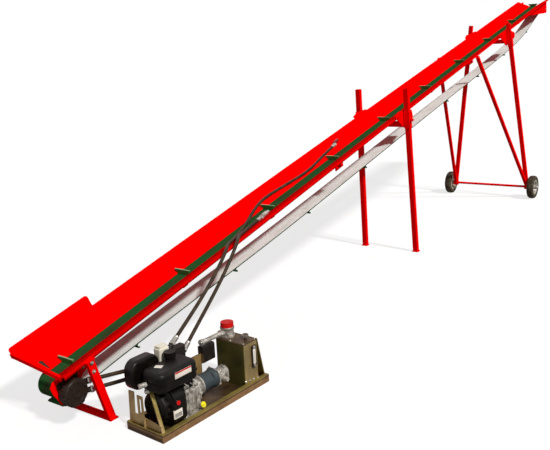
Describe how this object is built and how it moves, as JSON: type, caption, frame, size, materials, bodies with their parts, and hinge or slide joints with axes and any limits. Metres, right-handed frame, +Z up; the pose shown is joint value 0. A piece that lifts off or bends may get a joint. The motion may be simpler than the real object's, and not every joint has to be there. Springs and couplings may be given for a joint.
{
  "type": "firewood conveyor",
  "caption": "long inclined red trough conveyor with a narrow cleated belt, side legs, a wheeled undercarriage and a separate petrol hydraulic power pack on a tray",
  "frame": {"origin": "on the ground, in the middle of the foot's cross bar under the low end", "axes": "+X runs from the low end to the high end, -Y is the power pack's side, +Z is up"},
  "size_m": [8.0294, 1.151, 2.3111],
  "materials": {
    "red_paint": "satin",
    "green_belt": "matt",
    "pale_belt": "woven",
    "bare_steel": "brushed",
    "motor_black": "satin",
    "grey_tyre": "matt",
    "rim_grey": "satin",
    "zinc_yellow": "yellow zinc",
    "cast_alloy": "cast",
    "black_plastic": "matt",
    "black_gloss": "gloss",
    "cream_plastic": "matt",
    "slate_paint": "satin",
    "olive_zinc": "yellow zinc",
    "red_plastic": "gloss",
    "hose_rubber": "matt"
  },
  "bodies": {
    "frame": {"floor_pan": "red_paint", "near_side": "red_paint", "far_side": "red_paint", "hopper_side": "red_paint", "end_strap": "red_paint", "belt_upper": "green_belt", "belt_lower": "pale_belt", "belt_tail_wrap": "green_belt", "belt_head_wrap": "green_belt", "tail_drum": "bare_steel", "head_roller": "bare_steel", "tail_plates": "red_paint", "head_plates": "red_paint", "drive_motor": "motor_black", "foot": "red_paint", "mid_bracket": "red_paint", "head_bracket": "red_paint", "upright_near": "red_paint", "upright_far": "red_paint", "brace_near": "red_paint", "brace_far": "red_paint", "axle": "red_paint", "pack_tray": "zinc_yellow", "engine_block": "cast_alloy", "fan_housing": "black_plastic", "fuel_tank": "black_gloss", "silencer_cover": "black_plastic", "air_filter": "cream_plastic", "bell_housing": "slate_paint", "pump": "cast_alloy", "oil_tank": "olive_zinc", "filter_head": "bare_steel", "filter_cap": "red_plastic", "valve_block": "motor_black", "motor_hose_a": "hose_rubber", "motor_hose_b": "hose_rubber", "feed_hose_a": "hose_rubber", "feed_hose_b": "hose_rubber", "hose_couplers": "bare_steel"},
    "mid_leg_near": {"mid_leg_near": "red_paint"},
    "mid_leg_far": {"mid_leg_far": "red_paint"},
    "wheel_near": {"tyre_near": "grey_tyre", "rim_near": "rim_grey"},
    "wheel_far": {"tyre_far": "grey_tyre", "rim_far": "rim_grey"}
  },
  "joints": [
    {"name": "mid_leg_near_slide", "type": "slide", "parent": "frame", "child": "mid_leg_near", "axis": [-0.0956, 0.0198, 0.9952], "range_m": [0, 0.3]},
    {"name": "mid_leg_far_slide", "type": "slide", "parent": "frame", "child": "mid_leg_far", "axis": [-0.0956, -0.0198, 0.9952], "range_m": [0, 0.3]},
    {"name": "wheel_near_spin", "type": "hinge", "parent": "frame", "child": "wheel_near", "pos_m": [6.14, -0.487, 0.13], "axis": [0, 1, 0], "continuous": true},
    {"name": "wheel_far_spin", "type": "hinge", "parent": "frame", "child": "wheel_far", "pos_m": [6.14, 0.487, 0.13], "axis": [0, 1, 0], "continuous": true}
  ]
}
